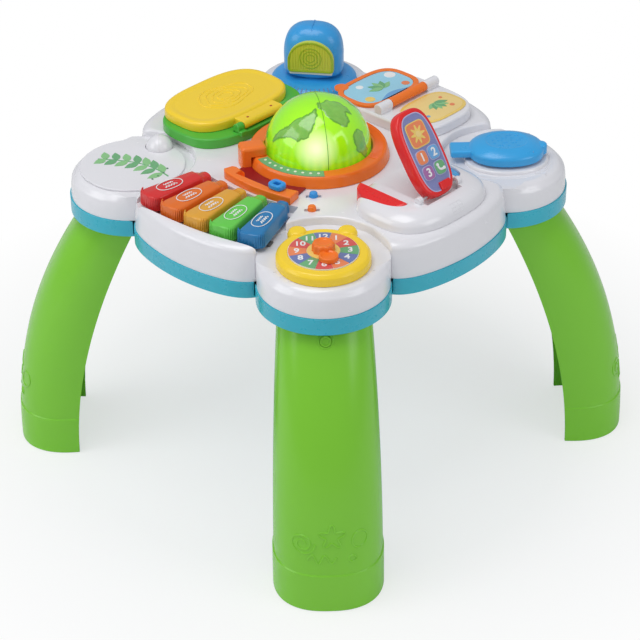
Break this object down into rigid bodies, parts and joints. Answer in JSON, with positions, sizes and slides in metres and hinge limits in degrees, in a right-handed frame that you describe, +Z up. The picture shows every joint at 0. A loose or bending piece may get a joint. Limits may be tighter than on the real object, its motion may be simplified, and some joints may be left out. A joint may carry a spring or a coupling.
{
  "type": "activity table",
  "caption": "Standing activity table for toddlers: lobed play top on bowed legs with globe, marker keys, toy clock, laptop, lamp, page book, mouse and telephone.",
  "frame": {"origin": "on the floor under the middle of the play top, at the middle of the feet's square", "axes": "+Z up; -Y to the lobe with the clock, +X to the lobe with the mouse, +Y to the lamp, -X to the picture pad"},
  "size_m": [0.7308, 0.7308, 0.4701],
  "materials": {
    "white_shell": "glossy moulded white plastic",
    "turquoise": "satin turquoise plastic",
    "leg_green": "satin grass-green plastic",
    "laptop_green": "satin green plastic",
    "yellow": "satin yellow plastic",
    "blue": "satin blue plastic",
    "sky_blue": "satin sky-blue plastic",
    "orange": "satin orange plastic",
    "red": "glossy red plastic",
    "clear_red": "translucent red plastic with glitter",
    "clear_orange": "translucent orange plastic with glitter",
    "clear_amber": "translucent amber plastic with glitter",
    "clear_green": "translucent green plastic with glitter",
    "clear_blue": "translucent blue plastic with glitter",
    "clear_lime": "lit translucent lime plastic",
    "lens": "ribbed yellow-green lens",
    "print": "printed label",
    "slate_blue": "printed slate-blue plate",
    "rubber": "matt dark rubber",
    "circuit": "circuit laminate",
    "steel": "plated steel",
    "cell_wrap": "wrapped dry cell"
  },
  "bodies": {
    "table": {"base_tray": "turquoise", "battery_box": "white_shell", "battery_door": "turquoise", "book_base": "white_shell", "book_hinge_pin": "steel", "book_label": "print", "cell_1": "cell_wrap", "cell_2": "cell_wrap", "cell_3": "cell_wrap", "circuit_board": "circuit", "clock_body": "yellow", "clock_dial": "print", "globe_light": "lens", "globe_ring": "orange", "globe_spindle": "white_shell", "key_contact_strip": "rubber", "key_rail": "white_shell", "lamp_base": "blue", "laptop_base": "laptop_green", "laptop_hinge_pin": "steel", "leg_back": "leg_green", "leg_front": "leg_green", "leg_left": "leg_green", "leg_right": "leg_green", "phone_console": "white_shell", "phone_hinge_pin": "steel", "picture_pad": "print", "slider_track": "orange", "speaker": "rubber", "top_shell": "white_shell", "tray_screw_1": "steel", "tray_screw_2": "steel", "tray_screw_3": "steel", "tray_screw_4": "steel"},
    "leg_lock_right": {"leg_lock_right": "leg_green"},
    "leg_lock_back": {"leg_lock_back": "leg_green"},
    "leg_lock_left": {"leg_lock_left": "leg_green"},
    "leg_lock_front": {"leg_lock_front": "leg_green"},
    "key_1": {"key_1": "clear_red"},
    "key_2": {"key_2": "clear_orange"},
    "key_3": {"key_3": "clear_amber"},
    "key_4": {"key_4": "clear_green"},
    "key_5": {"key_5": "clear_blue"},
    "laptop_lid": {"laptop_lid": "yellow"},
    "laptop_keypad": {"laptop_keypad": "white_shell"},
    "book_page": {"book_page": "orange", "page_print": "sky_blue"},
    "lamp_head": {"lamp_head": "blue", "lamp_lens": "lens"},
    "globe": {"globe_dome": "clear_lime", "globe_turntable": "white_shell"},
    "clock_knob": {"clock_knob": "orange"},
    "slider_bead": {"slider_bead": "blue"},
    "mode_switch": {"mode_switch": "blue"},
    "volume_switch": {"volume_switch": "orange"},
    "phone": {"phone_body": "red", "phone_face": "slate_blue"},
    "red_button": {"red_button": "red"},
    "blue_button": {"blue_button": "blue"},
    "mouse": {"mouse": "sky_blue"}
  },
  "joints": [
    {"name": "leg_lock_right_press", "type": "slide", "parent": "table", "child": "leg_lock_right", "axis": [-0.8307, 0, -0.5567], "range_m": [0, 0.0025], "stiffness_N_per_m": 800, "springref_m": -0.001},
    {"name": "leg_lock_back_press", "type": "slide", "parent": "table", "child": "leg_lock_back", "axis": [0, -0.8307, -0.5567], "range_m": [0, 0.0025], "stiffness_N_per_m": 800, "springref_m": -0.001},
    {"name": "leg_lock_left_press", "type": "slide", "parent": "table", "child": "leg_lock_left", "axis": [0.8307, 0, -0.5567], "range_m": [0, 0.0025], "stiffness_N_per_m": 800, "springref_m": -0.001},
    {"name": "leg_lock_front_press", "type": "slide", "parent": "table", "child": "leg_lock_front", "axis": [0, 0.8307, -0.5567], "range_m": [0, 0.0025], "stiffness_N_per_m": 800, "springref_m": -0.001},
    {"name": "key_1_press", "type": "hinge", "parent": "table", "child": "key_1", "pos_m": [-0.12945, -0.05264, 0.36156], "axis": [0.6362, -0.7715, 0], "range_deg": [0, 1.8], "stiffness_Nm_per_rad": 2, "springref_deg": -1.72},
    {"name": "key_2_press", "type": "hinge", "parent": "table", "child": "key_2", "pos_m": [-0.11072, -0.07307, 0.36156], "axis": [0.7133, -0.7008, 0], "range_deg": [0, 1.8], "stiffness_Nm_per_rad": 2, "springref_deg": -1.72},
    {"name": "key_3_press", "type": "hinge", "parent": "table", "child": "key_3", "pos_m": [-0.08997, -0.09144, 0.36156], "axis": [0.7826, -0.6225, 0], "range_deg": [0, 1.8], "stiffness_Nm_per_rad": 2, "springref_deg": -1.72},
    {"name": "key_4_press", "type": "hinge", "parent": "table", "child": "key_4", "pos_m": [-0.0674, -0.10753, 0.36156], "axis": [0.8433, -0.5374, 0], "range_deg": [0, 1.8], "stiffness_Nm_per_rad": 2, "springref_deg": -1.72},
    {"name": "key_5_press", "type": "hinge", "parent": "table", "child": "key_5", "pos_m": [-0.04329, -0.12118, 0.36156], "axis": [0.8949, -0.4464, 0], "range_deg": [0, 1.8], "stiffness_Nm_per_rad": 2, "springref_deg": -1.72},
    {"name": "laptop_lid_hinge", "type": "hinge", "parent": "table", "child": "laptop_lid", "pos_m": [-0.06399, 0.06399, 0.3843], "axis": [0.7071, 0.7071, 0], "range_deg": [0, 95]},
    {"name": "laptop_keypad_press", "type": "slide", "parent": "table", "child": "laptop_keypad", "axis": [0, 0, -1], "range_m": [0, 0.0015], "stiffness_N_per_m": 600, "springref_m": -0.004},
    {"name": "book_page_hinge", "type": "hinge", "parent": "table", "child": "book_page", "pos_m": [0.10465, 0.10465, 0.386], "axis": [0.7071, 0.7071, 0], "range_deg": [0, 180]},
    {"name": "lamp_turn", "type": "hinge", "parent": "table", "child": "lamp_head", "pos_m": [0, 0.20901, 0.3716], "axis": [0, 0, 1], "range_deg": [-30, 30]},
    {"name": "globe_spin", "type": "hinge", "parent": "table", "child": "globe", "pos_m": [0, 0, 0.3796], "axis": [0, 0, 1], "continuous": true},
    {"name": "clock_knob_turn", "type": "hinge", "parent": "table", "child": "clock_knob", "pos_m": [0, -0.21901, 0.37], "axis": [0, 0, 1], "continuous": true},
    {"name": "slider_bead_slide", "type": "slide", "parent": "table", "child": "slider_bead", "axis": [-0.7431, 0.6691, 0], "range_m": [0, 0.05]},
    {"name": "mode_switch_slide", "type": "slide", "parent": "table", "child": "mode_switch", "axis": [1, 0, 0], "range_m": [-0.004, 0.004]},
    {"name": "volume_switch_slide", "type": "slide", "parent": "table", "child": "volume_switch", "axis": [1, 0, 0], "range_m": [-0.004, 0.004]},
    {"name": "phone_hinge", "type": "hinge", "parent": "table", "child": "phone", "pos_m": [0.12728, -0.12728, 0.389], "axis": [-0.7071, -0.7071, 0], "range_deg": [0, 56]},
    {"name": "red_button_press", "type": "slide", "parent": "table", "child": "red_button", "axis": [0, 0, -1], "range_m": [0, 0.002], "stiffness_N_per_m": 400, "springref_m": -0.003},
    {"name": "blue_button_press", "type": "slide", "parent": "table", "child": "blue_button", "axis": [0, 0, -1], "range_m": [0, 0.002], "stiffness_N_per_m": 400, "springref_m": -0.003},
    {"name": "mouse_click", "type": "slide", "parent": "table", "child": "mouse", "axis": [0, 0, -1], "range_m": [0, 0.003], "stiffness_N_per_m": 400, "springref_m": -0.006}
  ]
}
